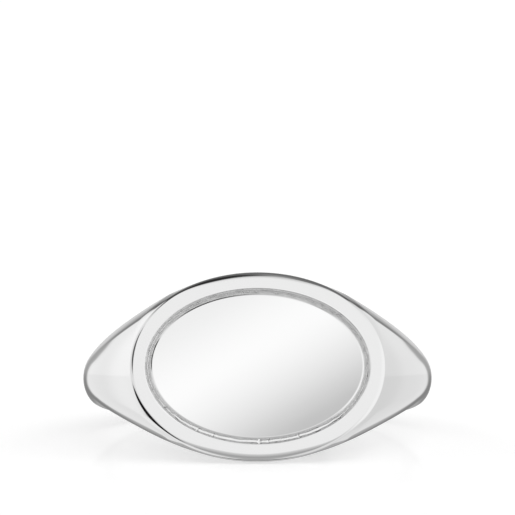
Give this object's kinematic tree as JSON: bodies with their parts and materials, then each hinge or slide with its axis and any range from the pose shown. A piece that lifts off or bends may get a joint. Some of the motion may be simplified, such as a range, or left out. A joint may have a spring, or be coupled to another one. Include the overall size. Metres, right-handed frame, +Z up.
{
  "type": "signet ring",
  "caption": "Polished silver signet ring with a wide oval head: a raised frame round a mirror-flat oval plate, on shoulders that taper to a half-round band.",
  "frame": {"origin": "on the table, under the middle of the ring's overall box, with the ring lying on its side as pictured", "axes": "-Y the way the face looks (the face itself leans back a little and looks slightly up); +X across the face, to the right for someone looking at it; +Z up from the table"},
  "size_m": [0.0208, 0.0212, 0.011],
  "materials": {
    "shank_silver": "mirror-polished sterling silver",
    "frame_silver": "mirror-polished sterling silver",
    "plate_silver": "mirror-polished sterling silver, flat for engraving",
    "solder": "smooth silver solder",
    "solder_seam": "rough silver solder, as it flowed"
  },
  "bodies": {
    "root": {"shank": "shank_silver", "frame_solder": "solder", "bezel_frame": "frame_silver", "plate_solder": "solder_seam", "face_plate": "plate_silver"}
  },
  "joints": []
}
